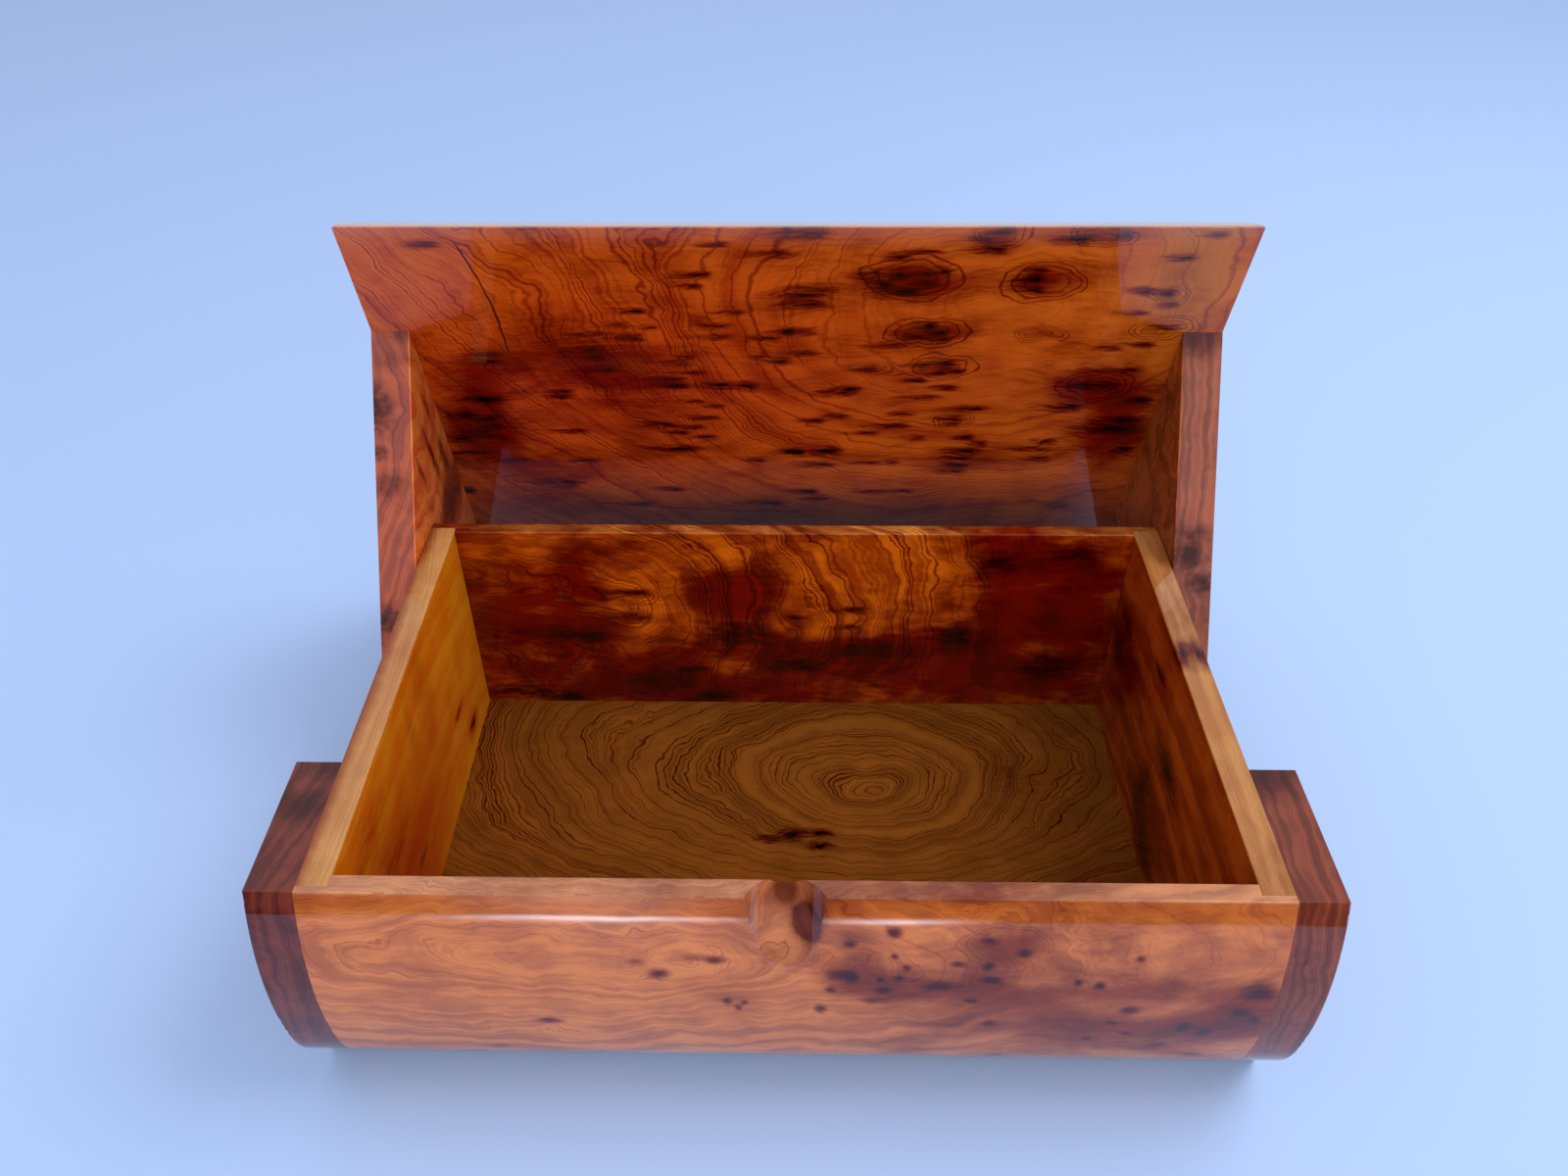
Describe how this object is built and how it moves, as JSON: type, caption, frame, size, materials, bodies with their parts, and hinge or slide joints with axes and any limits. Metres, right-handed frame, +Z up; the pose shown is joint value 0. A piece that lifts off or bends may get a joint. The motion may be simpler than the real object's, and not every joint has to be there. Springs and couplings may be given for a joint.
{
  "type": "hinged wooden box",
  "caption": "Varnished burl wood jewelry box: barrel-fronted tray with a finger scoop, and a flat lid on cheeks that turns on hidden pins and meets the tray along slanted side seams.",
  "frame": {"origin": "middle of the tray's base, on the surface that the box stands on", "axes": "+X to the right along the box's length, +Y from the front to the back, +Z up; the front faces -Y"},
  "size_m": [0.3, 0.2444, 0.2066],
  "materials": {
    "front_board": "gloss varnish over burl figure",
    "back_wall": "gloss varnish over burl figure",
    "bottom_panel": "gloss varnish over burl figure",
    "left_side_wall": "gloss varnish",
    "right_side_wall": "gloss varnish",
    "left_end_block": "gloss varnish over dark end grain",
    "right_end_block": "gloss varnish over dark end grain",
    "lid_panel": "gloss varnish over burl figure",
    "left_cheek": "gloss varnish",
    "right_cheek": "gloss varnish",
    "stop_peg": "satin, bare dowel",
    "hinge_pin": "dull drawn wire"
  },
  "bodies": {
    "tray": {"front_board": "front_board", "back_wall": "back_wall", "bottom_panel": "bottom_panel", "left_side_wall": "left_side_wall", "right_side_wall": "right_side_wall", "left_end_block": "left_end_block", "right_end_block": "right_end_block", "left_hinge_pin": "hinge_pin", "right_hinge_pin": "hinge_pin"},
    "lid": {"lid_panel": "lid_panel", "left_cheek": "left_cheek", "right_cheek": "right_cheek", "left_stop_peg": "stop_peg", "right_stop_peg": "stop_peg"}
  },
  "joints": [
    {"name": "lid_hinge", "type": "hinge", "parent": "tray", "child": "lid", "pos_m": [0, 0.07651, 0.0316], "axis": [1, 0, 0], "range_deg": [0, 72.7]}
  ]
}
